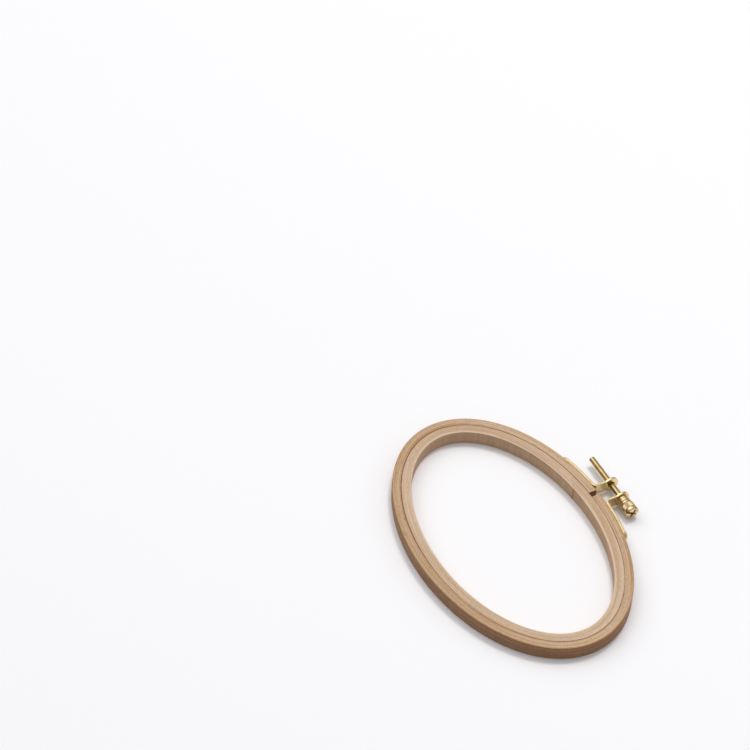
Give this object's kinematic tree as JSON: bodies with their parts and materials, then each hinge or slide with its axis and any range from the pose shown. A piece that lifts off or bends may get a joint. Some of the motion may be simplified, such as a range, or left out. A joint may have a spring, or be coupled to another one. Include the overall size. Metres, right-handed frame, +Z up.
{
  "type": "embroidery hoop",
  "caption": "Oval wooden embroidery hoop: a split outer ring closed by a brass thumbscrew between two riveted brackets, around a plain inner ring.",
  "frame": {"origin": "centre of the underside of the whole hoop's bounding box, screw included", "axes": "+X along the oval's long axis, towards the screw's head; +Y towards the tightening screw; +Z up out of the hoop's plane"},
  "size_m": [0.1626, 0.1199, 0.0087],
  "materials": {
    "outer_wood": "sanded beech, unvarnished",
    "inner_wood": "sanded beech, unvarnished, slightly paler",
    "bracket_brass": "bright rolled sheet",
    "rivet_brass": "bright",
    "screw_brass": "bright, slightly golden",
    "head_brass": "turned and knurled, bright"
  },
  "bodies": {
    "left_half": {"outer_ring_left": "outer_wood", "left_bracket": "bracket_brass", "left_rivet": "rivet_brass"},
    "right_half": {"outer_ring_right": "outer_wood", "right_bracket": "bracket_brass", "right_rivet": "rivet_brass"},
    "screw": {"screw_shank": "screw_brass", "screw_head": "head_brass"},
    "inner": {"inner_ring": "inner_wood"}
  },
  "joints": [
    {"name": "ring_spread", "type": "hinge", "parent": "left_half", "child": "right_half", "pos_m": [-0.0036, -0.0576, 0.004], "axis": [0, 0, -1], "range_deg": [0, 1.4]},
    {"name": "screw_turn", "type": "hinge", "parent": "right_half", "child": "screw", "pos_m": [0, 0.05575, 0.0045], "axis": [1, 0, 0], "range_deg": [0, 1700]},
    {"name": "inner_ring_lift", "type": "slide", "parent": "left_half", "child": "inner", "axis": [0, 0, 1], "range_m": [0, 0.012]}
  ],
  "couplings": [
    {"joint": "screw_turn", "follows": "ring_spread", "ratio": 1187}
  ]
}
